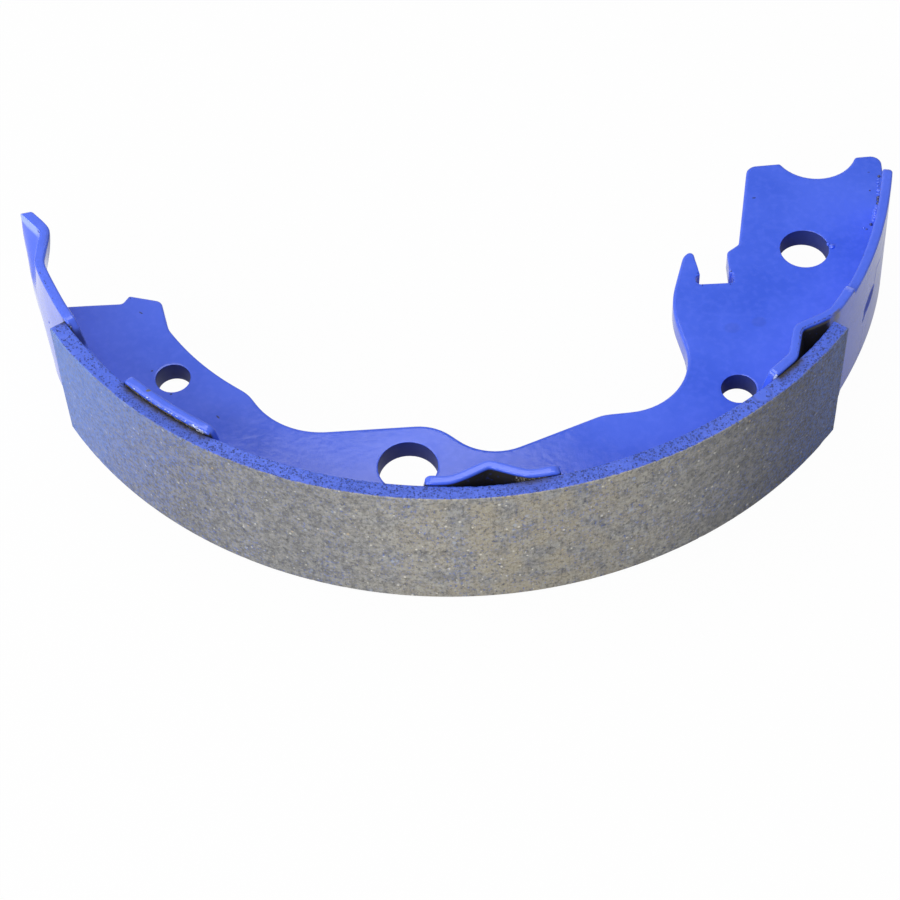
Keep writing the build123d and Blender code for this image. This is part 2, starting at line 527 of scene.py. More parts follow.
def unrolled(tree):
    """Place on the flat strip, in metres."""
    return node(tree, "ShaderNodeUVMap", uv_map="Unrolled").outputs[0]


def bump(tree, height, depth):
    """Normal from a height given in units of depth, in millimetres."""
    return node(tree, "ShaderNodeBump", {"Height": height, "Distance": depth * MM, "Strength": 1.0}).outputs[0]


def effect(name, outputs, inputs):
    """Empty shader node group, as (group, its given values, its results).

    An input whose value is None is a vector, and one whose value is a tuple is a colour.
    """
    tree = bpy.data.node_groups.new(name, "ShaderNodeTree")
    for label, value in inputs.items():
        kind = "Vector" if value is None else "Color" if isinstance(value, tuple) else "Float"
        socket = tree.interface.new_socket(label, in_out="INPUT", socket_type="NodeSocket" + kind)
        if value is not None:
            socket.default_value = value
    for label in outputs:
        kind = "Color" if label == "Color" else "Float"
        tree.interface.new_socket(label, in_out="OUTPUT", socket_type="NodeSocket" + kind)
    return tree, tree.nodes.new("NodeGroupInput").outputs, tree.nodes.new("NodeGroupOutput").inputs


def use(tree, group, **sockets):
    """An effect's results, from the values given to it."""
    return node(tree, "ShaderNodeGroup", sockets, node_tree=group).outputs


def finish(name):
    """Empty material, as (material, its tree, its shader's inputs, object coordinates)."""
    material = bpy.data.materials.new(name)
    material.use_nodes = True
    tree = material.node_tree
    place = tree.nodes.new("ShaderNodeTexCoord").outputs["Object"]
    return material, tree, tree.nodes["Principled BSDF"].inputs, place


# ---------------------------------------------------------------- effects

def specks_effect():
    """Round specks scattered over a surface, each with its own size."""
    tree, given, result = effect("Specks", ["Mask"], {"Place": None, "Spacing": 3.0, "Size": 0.3, "Share": 0.3})
    scale = maths(tree, "DIVIDE", 1 / MM, given["Spacing"])
    cell = node(tree, "ShaderNodeTexVoronoi", {"Vector": given["Place"], "Scale": scale})
    parts = node(tree, "ShaderNodeSeparateColor", {0: cell.outputs["Color"]}).outputs
    size = maths(tree, "DIVIDE", given["Size"], given["Spacing"])
    reach = times(tree, size, plus(tree, parts[1], 0.4))
    sockets = {
        "Value": cell.outputs["Distance"], "From Min": times(tree, reach, 0.5), "From Max": reach,
        "To Min": 1.0, "To Max": 0.0,
    }
    spread = node(tree, "ShaderNodeMapRange", sockets).outputs[0]
    there = maths(tree, "LESS_THAN", parts[0], given["Share"])
    wire(tree, result, Mask=times(tree, spread, there))
    return tree


def grains_effect():
    """Ragged grains: the part of a fine noise above a level, which falls as their share rises."""
    tree, given, result = effect("Grains", ["Mask"], {"Place": None, "Size": 0.5, "Share": 0.3, "Softness": 0.08})
    scale = maths(tree, "DIVIDE", 1 / MM, given["Size"])
    sockets = {"Vector": given["Place"], "Scale": scale, "Detail": 4.0, "Roughness": 0.75}
    fine = node(tree, "ShaderNodeTexNoise", sockets).outputs["Fac"]
    level = minus(tree, 0.74, times(tree, given["Share"], 0.5))
    sockets = {"Value": fine, "From Min": level, "From Max": plus(tree, level, given["Softness"])}
    wire(tree, result, Mask=node(tree, "ShaderNodeMapRange", sockets).outputs[0])
    return tree


def enamel_effect():
    """Sprayed enamel: a little uneven in colour, with a fine orange peel and a few specks of dust."""
    tree, given, result = effect(
        "Sprayed enamel", ["Color", "Roughness", "Height"],
        {"Place": None, "Color": (0.05, 0.12, 0.7, 1), "Rim": 0.0, "Dust": 0.05, "Shaded": 0.0},
    )
    place, colour, shaded = given["Place"], given["Color"], given["Shaded"]
    deep, thin = (
        node(tree, "ShaderNodeHueSaturation", {"Value": value, "Saturation": saturation, "Color": colour}).outputs[0]
        for value, saturation in ((0.88, 1.03), (1.12, 0.95))
    )
    shade = blend(tree, between(tree, noise(tree, place, 22, 3), 0.35, 0.65), colour, deep)
    shade = blend(tree, between(tree, noise(tree, place, 1.6, 3), 0.42, 0.7, 0.0, 0.2), shade, thin)
    shade = laid(tree, shade, given["Rim"], 0.35, thin)
    # Painted shade: where Shaded is given, the colour turns dark navy and the gloss dulls
    shade = blend(tree, shaded, shade, (0.004, 0.012, 0.13, 1))
    dust = use(tree, specks, Place=place, Spacing=7.0, Size=0.3, Share=given["Dust"])["Mask"]
    shade = laid(tree, shade, dust, 0.85, (0.01, 0.012, 0.05, 1))
    gloss = between(tree, noise(tree, place, 9, 4), 0.3, 0.7, 0.09, 0.15)
    peel = times(tree, noise(tree, place, 1.2, 2), 0.4)
    sag = noise(tree, place, 6, 2)
    wire(
        tree, result, Color=shade, Roughness=plus(tree, gloss, times(tree, shaded, 0.5)),
        Height=plus(tree, plus(tree, peel, sag), times(tree, dust, 0.6)),
    )
    return tree


def composite_effect():
    """Ground friction composite: fibre, resin, rubber crumb and brass, under a mist of paint, darkened by painted
    shade where it is given.
    """
    tree, given, result = effect(
        "Ground composite", ["Color", "Roughness", "Metallic", "Height"],
        {"Unrolled": None, "Mist": 0.1, "Worn": 0.0, "Resin": 0.0},
    )
    fog, painted_shade = given["Mist"], given["Worn"]

    def fading(strength, cause, loss):
        return minus(tree, strength, times(tree, cause, loss))

    # Ground across the face, so everything is a little drawn out that way
    flat = stretched(tree, given["Unrolled"], 1.0, 0.78)
    patchy = between(tree, noise(tree, flat, 2.2, 4, 0.6), 0.36, 0.64)
    shade = blend(tree, patchy, (0.215, 0.215, 0.215, 1), (0.375, 0.372, 0.355, 1))
    resin = times(tree, given["Resin"], between(tree, noise(tree, flat, 5, 4), 0.34, 0.6))
    shade = blend(tree, resin, shade, (0.43, 0.385, 0.285, 1))
    grain = noise(tree, flat, 0.75, 4, 0.72)
    shade = blend(tree, between(tree, grain, 0.52, 0.64, 0.0, 0.66), shade, (0.095, 0.093, 0.09, 1))
    shade = blend(tree, between(tree, grain, 0.47, 0.37, 0.0, 0.5), shade, (0.54, 0.53, 0.48, 1))
    lines = noise(tree, stretched(tree, flat, 1.0, 0.11), 0.6, 3, 0.6)
    shade = blend(tree, between(tree, lines, 0.5, 0.72, 0.0, 0.3), shade, (0.10, 0.10, 0.098, 1))
    # Painted shade: a dark glaze laid where less light falls on the face
    shade = blend(tree, painted_shade, shade, (0.040, 0.043, 0.060, 1))
    clumps = use(tree, grains, Place=flat, Size=1.4, Share=0.35, Softness=0.11)["Mask"]
    shade = laid(tree, shade, clumps, fading(0.76, fog, 0.48), (0.028, 0.027, 0.028, 1))
    broad = stretched(tree, flat, 0.6, 1.0)
    smears = use(tree, grains, Place=broad, Size=3.0, Share=0.2, Softness=0.06)["Mask"]
    shade = laid(tree, shade, smears, 0.5, (0.075, 0.074, 0.078, 1))

    # Glints, brass and pale chips are fainter under the painted shade
    glints = use(tree, specks, Place=flat, Spacing=1.3, Size=0.27, Share=0.34)["Mask"]
    shade = laid(tree, shade, glints, fading(0.75, painted_shade, 0.6), (0.80, 0.78, 0.70, 1))
    brass = use(tree, specks, Place=flat, Spacing=2.4, Size=0.27, Share=0.3)["Mask"]
    shade = laid(tree, shade, brass, fading(0.8, painted_shade, 0.6), (0.68, 0.54, 0.34, 1))
    chips = use(tree, specks, Place=flat, Spacing=3.0, Size=0.5, Share=0.34)["Mask"]
    shade = laid(tree, shade, chips, fading(0.5, painted_shade, 0.4), (0.46, 0.54, 0.70, 1))

    # Mist of paint, and larger flecks of it that gather in places
    soft = plus(tree, 0.08, times(tree, fog, 0.25))
    share = plus(tree, fog, times(tree, fog, 0.12))
    mist = use(tree, grains, Place=flat, Size=0.6, Share=share, Softness=soft)["Mask"]
    shade = laid(tree, shade, mist, 0.82, blend(tree, fog, (0.075, 0.13, 0.52, 1), (0.122, 0.255, 0.74, 1)))
    gathered = between(tree, noise(tree, flat, 9, 3), 0.36, 0.66, 0.26, 0.39)
    flecks = use(tree, grains, Place=flat, Size=0.7, Share=gathered, Softness=0.09)["Mask"]
    shade = laid(tree, shade, flecks, 0.6, (0.10, 0.20, 0.72, 1))
    relief = minus(tree, minus(tree, times(tree, lines, 0.3), clumps), grain)
    wire(
        tree, result, Color=shade, Roughness=between(tree, grain, 0.3, 0.7, 0.62, 0.8),
        Metallic=times(tree, brass, 0.7), Height=times(tree, relief, plus(tree, 1.0, painted_shade)),
    )
    return tree


specks = specks_effect()
grains = grains_effect()
enamel = enamel_effect()
composite = composite_effect()


# ---------------------------------------------------------------- finishes

def web_finish():
    """Enamel, thin at the rims and with painted shade dark in the bores, with nicks in the upper face and faint
    stains.
    """
    material, tree, surface, place = finish("Web enamel")
    rim, bore = attribute(tree, "rim"), attribute(tree, "bore")
    coat = use(tree, enamel, Place=place, Color=ENAMEL_BLUE, Rim=rim, Dust=0.05, Shaded=bore)
    shade = coat["Color"]
    for x, y, turn, length, width, darkness in WEB_MARKS:
        shade = laid(tree, shade, spot(tree, place, x, y, WEB_UPPER, turn, length, width), darkness, NAVY)
    normal = bump(tree, coat["Height"], 0.035)
    wire(tree, surface, Base_Color=shade, Roughness=coat["Roughness"], Normal=normal)
    return material


def table_finish():
    """Enamel outside, adhesive where the lining covers the strip, crust where it squeezed out.

    The shears are bare at the lands' corners, with a painted highlight there, and scuffed at the shoulder.
    Dull marks break the gloss of the outer face. Painted shade, painted shading in a richer blue and
    a painted highlight lie where the light falls unevenly.
    """
    material, tree, surface, place = finish("Table enamel")
    flat = unrolled(tree)
    rim, shaded = attribute(tree, "rim"), attribute(tree, "shaded")
    coat = use(tree, enamel, Place=place, Color=ENAMEL_BLUE, Rim=rim, Dust=0.12, Shaded=shaded)
    lumps = noise(tree, place, 0.9, 4, 0.6)
    nicked = use(tree, grains, Place=place, Size=0.6, Share=attribute(tree, "nicked"), Softness=0.06)["Mask"]
    shade = laid(tree, coat["Color"], nicked, 0.75, NAVY)
    scuffed = ragged(tree, attribute(tree, "scuffed"), place, 0.5, 1.0, 0.3, 1.1)
    shade = laid(tree, shade, scuffed, 0.65, (0.26, 0.32, 0.80, 1))

    # Adhesive, and the crust that it left, with pale bits in it
    covered = times(tree, attribute(tree, "covered"), between(tree, lumps, 0.2, 0.45, 0.7, 1.0))
    shade = blend(tree, covered, shade, ADHESIVE)
    bits = noise(tree, place, 0.45, 3, 0.7)
    crust = blend(tree, between(tree, bits, 0.48, 0.60), (0.035, 0.03, 0.025, 1), (0.22, 0.19, 0.12, 1))
    crust = blend(tree, between(tree, bits, 0.62, 0.68), crust, (0.6, 0.62, 0.68, 1))
    crusty = ragged(tree, attribute(tree, "crusty"), place, 0.7, 1.4, 0.42, 0.55)
    shade = blend(tree, crusty, shade, crust)

    # Bare metal with a painted highlight, dull marks, rust and dust, then painted shading and a painted highlight
    bare_and_highlight = ragged(tree, attribute(tree, "bare_and_highlight"), place, 0.42, 1.3, 0.5, 0.75)
    shade = laid(tree, shade, bare_and_highlight, 0.8, (0.62, 0.70, 0.95, 1))
    dull, *others = [spot(tree, flat, x, y, 0, *shape) for x, y, *shape in TABLE_MARKS]
    for mark in others:
        dull = larger(tree, dull, mark)
    shade = laid(tree, shade, dull, 0.85, (0.028, 0.06, 0.46, 1))
    rusty = times(tree, spot(tree, flat, *RUST_MARK), between(tree, lumps, 0.4, 0.6))
    shade = blend(tree, rusty, shade, (0.12, 0.09, 0.06, 1))
    dusty = ragged(tree, attribute(tree, "dusty"), place, 0.8, 0.6, 0.3, 0.8, 0.85)
    dusty = larger(tree, dusty, spot(tree, place, *CRUMB, 10, 1.1, 0.7))
    shade = blend(tree, dusty, shade, (0.12, 0.115, 0.105, 1))
    shade = laid(tree, shade, attribute(tree, "painted_shading_blue"), 0.8, (0.02, 0.10, 1.0, 1))
    shade = laid(tree, shade, attribute(tree, "painted_highlight"), 0.75, (0.34, 0.47, 0.97, 1))
    rough = plus(tree, coat["Roughness"], times(tree, covered, 0.4))
    rough = plus(tree, rough, times(tree, larger(tree, dull, crusty), 0.65))
    torn = times(tree, larger(tree, bare_and_highlight, crusty), lumps)
    relief = plus(tree, coat["Height"], times(tree, torn, 6.0))
    relief = minus(tree, relief, times(tree, larger(tree, dull, nicked), 3.0))
    wire(
        tree, surface, Base_Color=shade, Roughness=rough, Metallic=times(tree, bare_and_highlight, 0.5),
        Normal=bump(tree, relief, 0.035),
    )
    return material


def weld_finish():
    """Enamel over weld flash, scorched through in places."""
    material, tree, surface, place = finish("Weld enamel")
    coat = use(tree, enamel, Place=place, Color=ENAMEL_BLUE, Rim=0.3, Dust=0.3)
    scorched = ragged(tree, attribute(tree, "scorched"), place, 0.7, 0.9, 0.35, 0.75)
    shade = laid(tree, coat["Color"], scorched, 0.92, (0.008, 0.014, 0.09, 1))
    normal = bump(tree, coat["Height"], 0.08)
    wire(tree, surface, Base_Color=shade, Roughness=coat["Roughness"], Normal=normal)
    return material


def lining_finish():
    """Ground composite on the friction face, and paint over open pits on the sides and ends."""
    material, tree, surface, place = finish("Friction lining")
    flat = unrolled(tree)
    fog = plus(tree, attribute(tree, "overspray"), wander(tree, flat, 5, 0.35))
    painted_shade, resin = attribute(tree, "painted_shade"), attribute(tree, "resin")
    ground = use(tree, composite, Unrolled=flat, Mist=fog, Worn=painted_shade, Resin=resin)

    def pin_disc(width):
        return spot(tree, place, *PIN_MARK, LINING_TOP, 0, width, width)

    # Sides and ends: pits in clusters, more of them towards the inner edge under the crust and
    # fewer in the pin's witness
    outward, gluey = attribute(tree, "outward"), attribute(tree, "gluey")
    share = plus(tree, attribute(tree, "pitted"), wander(tree, place, 3.5, 0.55))
    glued = times(tree, gluey, minus(tree, 1.0, outward))
    share = plus(tree, share, times(tree, glued, 0.85))
    share = minus(tree, share, times(tree, pin_disc(4.0), 0.3))
    share = plus(tree, share, 0.18)
    sockets = {0: noise(tree, place, 0.5, 3, 0.6, "Color"), "Scale": 0.5 * MM}
    swirl = node(tree, "ShaderNodeVectorMath", sockets, operation="SCALE").outputs[0]
    shaken = node(tree, "ShaderNodeVectorMath", {0: place, 1: swirl}, operation="ADD").outputs[0]
    pits = use(tree, specks, Place=shaken, Spacing=0.42, Size=0.26, Share=share)["Mask"]
    pits = times(tree, pits, between(tree, noise(tree, place, 0.9, 2), 0.35, 0.55, 0.7, 1.0))
    mottled = times(tree, share, 0.8)
    mottle = use(tree, grains, Place=place, Size=0.7, Share=mottled, Softness=0.16)["Mask"]
    pits = larger(tree, pits, times(tree, mottle, 0.42))
    paint = use(tree, enamel, Place=place, Color=(0.058, 0.128, 0.70, 1), Rim=0.0, Dust=0.2)
    side = laid(tree, paint["Color"], pits, 0.84, (0.02, 0.03, 0.11, 1))
    ring = minus(tree, pin_disc(4.3), pin_disc(3.9))
    side = laid(tree, side, ring, 0.9, NAVY)

    # A dark crust of adhesive along the inner edge
    crust = times(tree, ragged(tree, outward, place, 0.7, 0.5, 0.50, 0.10), gluey)
    side = blend(tree, crust, side, (0.025, 0.021, 0.018, 1))

    face = ragged(tree, attribute(tree, "ground"), place, 0.6, 0.7, 0.35, 0.65)
    gloss = between(tree, larger(tree, pits, crust), 0.0, 1.0, 0.3, 0.75)
    sunk = minus(tree, plus(tree, times(tree, pits, -1.0), wander(tree, place, 1.2, 0.5)), ring)
    wire(
        tree, surface, Base_Color=blend(tree, face, side, ground["Color"]),
        Roughness=mix_value(tree, face, gloss, ground["Roughness"]),
        Metallic=times(tree, ground["Metallic"], face),
        Normal=bump(tree, mix_value(tree, face, sunk, ground["Height"]), 0.065),
    )
    return material


web_material = web_finish()
table_material = table_finish()
weld_material = weld_finish()
lining_material = lining_finish()


# ---------------------------------------------------------------- web

def make_web():
    rims = plate_rims(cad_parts["web"])
    for x, y, reach, across, up in OUTLINE_SHIFTS:
        share = np.exp(-((rims[0] - (x, y)) ** 2).sum(1) / reach**2)
        rims[0] = rims[0] + share[:, None] * (across, up)
    rims = [smooth_outline(rim, 1.6) for rim in rims]
    # The outline's edge is rolled over by the blanking. The bores' edges are crisp, and so is the
    # outline's at the strut slot's floor.
    front = np.concatenate([np.full(len(rim), 0.15 if k else 0.5) for k, rim in enumerate(rims)])
    from_slot = np.linalg.norm(rims[0] - SLOT_MIDDLE, axis=1)
    front[: len(rims[0])] = 0.15 + 0.35 * ramp(from_slot, 5.2, 7.0)
    points, faces, rim = rounded_plate(rims, WEB_THICKNESS, front, 0.3, 2.6)
    # Painted shade on the bores' walls, up to their crisp edges
    bore = np.zeros(len(points))
    for hole in rims[1:]:
        middle = hole.mean(0)
        reach = np.abs(np.linalg.norm(hole - middle, axis=1)).max()
        away = np.linalg.norm(points[:, :2] - middle, axis=1)
        bore = np.maximum(bore, ramp(-away, -reach - 0.45, -reach - 0.05))
    bore *= 0.9 * ramp(WEB_THICKNESS / 2 - np.abs(points[:, 2]), 0.0, 0.12)
    # The seat follows the table, which bows out a little at the abutment's end
    radius = np.linalg.norm(points[:, :2], axis=1)
    at = np.degrees(np.arctan2(points[:, 1], points[:, 0]))
    bow = strip_bow(at, np.zeros(len(points))) * ramp(radius, 86, 94) * (at < -140)
    points[:, :2] *= (1 + bow / np.maximum(radius, 1))[:, None]
    points[:, 2] += MID_HEIGHT
    made = piece("web_plate", points, faces, web_material, rim=rim, bore=bore)
    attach(made, "root")
    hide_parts("web")


# ---------------------------------------------------------------- table

def along(angle):
    """Place along the flat strip of an angle about the drum's axis."""
    return TABLE_RADIUS * radians(angle)


def table_corners():
    """The flat strip's outline, as (place along it, height, corner radius)."""
    upper = [(along(TABLE_START), LAND, 1.0)]
    for left, left_lean, left_round, right, right_lean, right_round in RECESSES:
        a, b = along(left), along(right)
        upper += [
            (a, LAND, left_round), (a + left_lean, RECESS, 1.5),
            (b - right_lean, RECESS, 1.5), (b, LAND, right_round),
        ]
    step = along(SHOULDER_ANGLE)
    upper += [(step, LAND, 0.4), (step + 0.3, LOW_SHOULDER, 0.4), (along(TABLE_END), LOW_SHOULDER, 1.6)]
    lower = [(x, -y, r) for x, y, r in upper]
    return lower + upper[::-1]


def nib_dent(along_strip, height, inward):
    """How far the strip is pressed inwards, at the nibs along both of its edges.

    The bends are tight on the side where the metal is squeezed and wide where it is stretched.
    Inward is 0 on the outer face and 1 on the inner one.
    """
    total = np.zeros(len(height))
    for side in (1, -1):
        fall = 1 - np.clip((LAND - side * height) / NIB_LENGTH, 0, 1) ** 1.6
        for angle, left_slope, right_slope, left_foot, bend in NIBS:
            off = along_strip - along(angle)
            slope = np.where(off < 0, left_slope, right_slope)
            foot = np.where(off < 0, left_foot, 0.9) * (1 - 0.55 * inward)
            apex = 0.5 + (bend - 0.5) * inward
            # A wider bend starts higher, so that the wall keeps its thickness
            depth = NIB_DEPTH * fall + 0.5 * apex * inward - 0.3 * inward - slope * np.sqrt(off**2 + apex**2)
            total += (depth + np.sqrt(depth**2 + foot**2)) / 2 * ramp(fall, 0.0, 0.2)
    return np.where(total > 0.06, total - 0.06, 0)


def strip_bow(at, height):
    """How far the rolled strip's ends stand off their circle: lower edges out, upper edges in."""
    up = (height + LAND) / (2 * LAND)
    left = ramp(-at, 149.8, 155.5) * (0.75 - 0.95 * up) * (1 - ramp(-at, 166.3, 168.7))
    right = ramp(at, -33, -12) * (0.5 - 1.07 * up)
    return left + right


def rolled(points, radius):
    """Points of a flat strip (along, height, depth) rolled round the drum's axis."""
    around = points[:, 0] / radius
    out = radius + points[:, 2]
    return np.column_stack([out * np.cos(around), out * np.sin(around), MID_HEIGHT + points[:, 1]])


def strip_rim(corners, step, radius):
    """A flat strip's rim, with the length along it and the angle of each point."""
    rim = rounded_outline(corners, step)
    length = np.concatenate([[0], np.cumsum(np.linalg.norm(np.diff(rim, axis=0), axis=1))])
    return rim, length, np.degrees(rim[:, 0] / radius)


def make_table():
    rim, length, angle = strip_rim(table_corners(), 0.75, TABLE_RADIUS)
    # The shears' outer rims: crisp at the first nib, torn along the second land, and rounder at
    # the right end
    upper = ramp(rim[:, 1], 15.5, 17.0)
    torn_land = window(angle, -136.6, -135.8, -123.6, -122.6) * upper
    front = 0.46 + torn_land * (0.02 + 0.22 * np.abs(noise_along(length, 0.8, 3)))
    crisp = ramp(-angle, 161, 163) * upper
    front -= 0.26 * crisp
    front += 0.35 * ramp(rim[:, 0], along(TABLE_END) - 1.4, along(TABLE_END) - 0.2)
    points, faces, rounding = rounded_plate([rim], TABLE_THICKNESS, front, 0.5 - 0.25 * crisp, 1.15)
    flat = points[:, :2].copy()
    height = points[:, 1]
    at = np.degrees(points[:, 0] / TABLE_RADIUS)
    outer = ramp(points[:, 2], 0.1, 0.8)
    inner = ramp(-points[:, 2], 0.1, 0.8)
    edge = ramp(rounding, 0.3, 1.0)
    values = {"rim": rounding}

    # Under the lining, and squeezed-out adhesive on the outer face, just above the lining's side
    half = LINING_HALF_WIDTH
    lined = window(at, LINING_START - 0.1, LINING_START + 0.2, LINING_END - 0.2, LINING_END + 0.1)
    values["covered"] = outer * lined * ramp(-np.abs(height), -half - 0.25, -half)
    squeezed = window(at, -136.6, -135.6, -123.8, -122.6) + 0.7 * window(at, -86.0, -84.0, -81.5, -80.0)
    values["crusty"] = outer * ramp(-height, -half - 0.32, -half - 0.02) * squeezed

    # Dust and torn paint on and beside the last nib. On the first nib's outer face: a painted highlight
    # below its edge, and painted shading in a richer blue below that.
    values["dusty"] = outer * (
        1.1 * window(at, -41.4, -40.6, -38.4, -37.6) * window(height, 16.3, 16.7, 17.2, 17.55)
        + 0.75 * near(at, -36.8, 1.1) * ramp(height, 11, 16)
    )
    values["painted_highlight"] = outer * ramp(-at, 164.7, 165.2) * ramp(height, 15.5, 15.8) * (1 - edge)
    painted_shading_blue = outer * ramp(-at, 163.6, 164.8) * window(height, 6, 14, 15.5, 15.8) * near(at, -165.2, 2.2)

    # Bare metal at three of the lands' corners and along the second land's torn rim, painted bluish white as a
    # highlight
    corners = (
        0.8 * near(at, -148.0, 0.45) + 0.75 * near(at, -49.5, 0.5)
        + 0.62 * near(at, -124.2, 1.3) * ramp(-height, -17.9, -17.5)
    )
    torn_rim = window(rounding, 0.1, 0.3, 0.7, 0.95) * window(at, -136.3, -135, -124, -122.4)
    values["bare_and_highlight"] = outer * (corners * ramp(height, 15.6, 16.6) + 0.55 * torn_rim * ramp(height, 16.9, 17.3))
    values["scuffed"] = edge * near(at, -32.4, 0.7)
    nicks = 0.5 * near(at, -40.5, 5.0) + 0.34 * near(at, -156, 3.5)
    values["nicked"] = 0.12 * ramp(at, -161.5, -160) + edge * outer * nicks

    # Painted shade: darker on the recesses' leaning ends that face away from the light, the last land's
    # end, and the inner side of the first nib. The last land's end also gets painted shading in a richer blue.
    ends = [(left, left + 0.62 * lean) for left, lean, *_ in RECESSES]
    shaded = edge * ramp(height, 12.4, 13.4) * sum(
        window(at, start + 0.8, start + 1.2, end + 0.6, end + 1.2) for start, end in ends
    )
    land_end = edge * window(at, -53.2, -52.6, -50.0, -49.5)
    shaded += 0.5 * land_end + 0.6 * inner * near(at, -163.4, 1.6) * ramp(height, 6, 14)
    values["painted_shading_blue"] = np.maximum(painted_shading_blue, 0.75 * land_end)
    values["shaded"] = 0.8 * np.clip(shaded, 0, 1)

    inward = 0.5 - points[:, 2] / TABLE_THICKNESS
    points[:, 2] += strip_bow(at, height) - nib_dent(points[:, 0], height, inward)
    made = piece("table_strip", rolled(points, TABLE_RADIUS), faces, table_material, flat, **values)
    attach(made, "root")
    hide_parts("table")


# ---------------------------------------------------------------- lining

def make_lining():
    middle = DRUM_RADIUS - LINING_THICKNESS / 2
    start, end = radians(LINING_START) * middle, radians(LINING_END) * middle
    half = LINING_HALF_WIDTH
    # The first end is cut a little askew
    corners = [
        (start, -half, 0.25), (end, -half, 0.25), (end, half, 0.25),
        (start + 0.7, half, 0.25), (start + 0.65, 11.0, 4.0), (start, -3.0, 4.0),
    ]
    rim, length, angle = strip_rim(corners, 0.55, middle)
    # Outer edges with a few chips, and inner edges torn beside the lands
    chips = np.clip(noise_along(length, 1.4, 11), 0, 1) ** 3 * np.clip(noise_along(length, 9, 12) + 0.2, 0, 1)
    front = 0.12 + 0.45 * chips
    lands = window(angle, -137.5, -136, -123, -121) + near(angle, -88, 5) + near(angle, -42, 4)
    torn = 0.4 + 0.5 * np.abs(noise_along(length, 0.9, 13))
    back = 0.18 + np.clip(lands, 0, 1) * ramp(rim[:, 1], 16.5, 17.2) * torn
    points, faces, rounding = rounded_plate([rim], LINING_THICKNESS, front, back, 2.4, wall_rows=5)
    flat = points[:, :2].copy()
    at = np.degrees(points[:, 0] / middle)
    height = points[:, 1]
    low = at - 0.3 * height
    glue = (
        window(at, -137, -135.2, -124, -121.6) + near(at, -149.3, 0.6)
        + window(at, -49.9, -49.0, -45.8, -44.4) + 0.8 * near(at, -83, 2.5)
    )
    values = {
        "rim": rounding,
        "ground": ramp(points[:, 2], LINING_THICKNESS / 2 - 0.3, LINING_THICKNESS / 2 - 0.02),
        "outward": points[:, 2] / LINING_THICKNESS + 0.5,
        "overspray": 0.27 + 0.55 * ramp(-low, 110, 152) + 0.3 * ramp(at, -62, -38),
        # Painted shade on the friction face: heaviest towards the right end, lighter at the left and in the middle
        "painted_shade": (
            0.74 * ramp(at, -72, -43) + 0.27 * ramp(-at, 95, 112) + 0.14 * ramp(-at, 116, 128)
            + 0.09 * near(at, -80, 14)
        ),
        "resin": 0.9 * near(at, -84, 16),
        "pitted": np.interp(
            at, [-150, -140, -132, -124, -118, -108, -84, -76, -60, -50, -44, -38],
            [0.30, 0.30, 0.42, 0.46, 0.48, 0.46, 0.48, 0.50, 0.42, 0.36, 0.44, 0.56],
        ),
        "gluey": np.clip(glue, 0, 1) * ramp(height, 16.6, 17.1),
    }
    made = piece("lining_pad", rolled(points, middle), faces, lining_material, flat, **values)
    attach(made, "root")
    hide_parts("lining")


# ---------------------------------------------------------------- welds

def grower(name, values):
    """Empty Geometry Nodes tree with a named input for each value, as (tree, given values, names)."""
    tree = bpy.data.node_groups.new(name, "GeometryNodeTree")
    tree.interface.new_socket("Geometry", in_out="INPUT", socket_type="NodeSocketGeometry")
    names = {}
    for label, value in values.items():
        made = tree.interface.new_socket(label, in_out="INPUT", socket_type="NodeSocketFloat")
        made.default_value = value
        names[label] = made.identifier
    return tree, tree.nodes.new("NodeGroupInput").outputs, names


def roughened(tree, mesh, size, given):
    """The mesh with its points pushed about by noise, in metres."""
    sockets = {"Scale": maths(tree, "DIVIDE", 1.0, size), "Detail": 2.0, "W": given["Seed"]}
    lumps = node(tree, "ShaderNodeTexNoise", sockets, noise_dimensions="4D").outputs["Color"]
    centred = node(tree, "ShaderNodeVectorMath", {0: lumps, 1: (0.5, 0.5, 0.5)}, operation="SUBTRACT").outputs[0]
    push = node(tree, "ShaderNodeVectorMath", {0: centred, "Scale": given["Roughness"]}, operation="SCALE").outputs[0]
    return node(tree, "GeometryNodeSetPosition", {"Geometry": mesh, "Offset": push}).outputs[0]


def grown(name, mesh, tree, names, values):
    """Plain mesh object from a Geometry Nodes tree with its named inputs set."""
    source = placed(name + "_source", mesh)
    modifier = source.modifiers.new(name, "NODES")
    modifier.node_group = tree
    for label, value in values.items():
        modifier[names[label]] = value
    source.update_tag()
    evaluated = source.evaluated_get(bpy.context.evaluated_depsgraph_get())
    plain = bpy.data.meshes.new_from_object(evaluated)
    source.modifiers.remove(modifier)
    bpy.data.objects.remove(source)
    made = placed(name, plain)
    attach(made, "root")


def ended(tree, mesh):
    """Last nodes of a tree: everything made real, smooth, and in the weld's material."""
    real = node(tree, "GeometryNodeRealizeInstances", {0: mesh}).outputs[0]
    smooth = node(tree, "GeometryNodeSetShadeSmooth", {0: real}).outputs[0]
    done = node(tree, "GeometryNodeSetMaterial", {0: smooth, "Material": weld_material}).outputs[0]
    tree.interface.new_socket("Geometry", in_out="OUTPUT", socket_type="NodeSocketGeometry")
    tree.links.new(done, tree.nodes.new("NodeGroupOutput").inputs[0])


